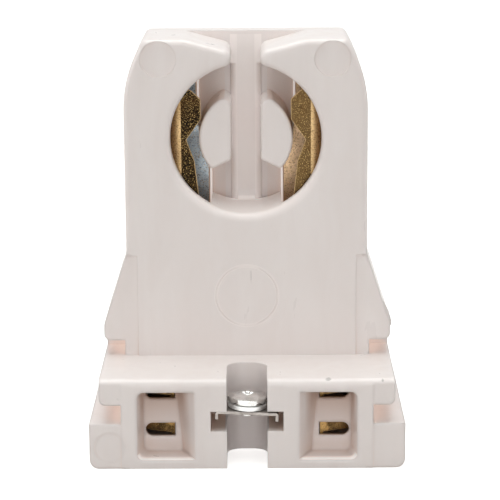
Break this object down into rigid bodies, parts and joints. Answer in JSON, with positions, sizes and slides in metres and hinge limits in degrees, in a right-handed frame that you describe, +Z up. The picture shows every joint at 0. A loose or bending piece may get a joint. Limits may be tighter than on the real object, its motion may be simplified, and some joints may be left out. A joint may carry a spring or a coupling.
{
  "type": "fluorescent tube lamp holder",
  "caption": "Upright pedestal lamp holder for a two-pin fluorescent tube, with a notched round socket, wire wells in the base and a screw channel.",
  "frame": {"origin": "on the base's underside, in the middle of the overall width and depth", "axes": "+Z up from the base to the tube's entry, -Y towards the lamp, +X to the right as seen from the lamp"},
  "size_m": [0.033, 0.0198, 0.0438],
  "materials": {
    "moulded_plastic": "satin white moulding",
    "cover_plastic": "satin white moulding",
    "contact_brass": "rolled strip, blanked edges",
    "plated_sheet": "zinc plated",
    "plated_spring": "bright zinc plated",
    "plated_screw": "bright zinc plated"
  },
  "bodies": {
    "holder": {"housing": "moulded_plastic", "back_cover": "cover_plastic", "contact_left": "contact_brass", "contact_right": "contact_brass"},
    "plate": {"nut_plate": "plated_sheet"},
    "washer": {"spring_washer": "plated_spring"},
    "fastener": {"screw": "plated_screw"}
  },
  "joints": [
    {"name": "plate_drop", "type": "slide", "parent": "holder", "child": "plate", "axis": [0, 0, 1], "range_m": [-0.0009, 0]},
    {"name": "washer_lift", "type": "slide", "parent": "plate", "child": "washer", "axis": [0.0436, 0, 0.999], "range_m": [0, 0.00045]},
    {"name": "screw_turn", "type": "hinge", "parent": "washer", "child": "fastener", "pos_m": [0, -0.0075, 0.00603], "axis": [0.0436, 0, 0.999], "range_deg": [0, 360]}
  ],
  "couplings": [
    {"joint": "screw_turn", "follows": "washer_lift", "rad_per_m": 13963}
  ]
}
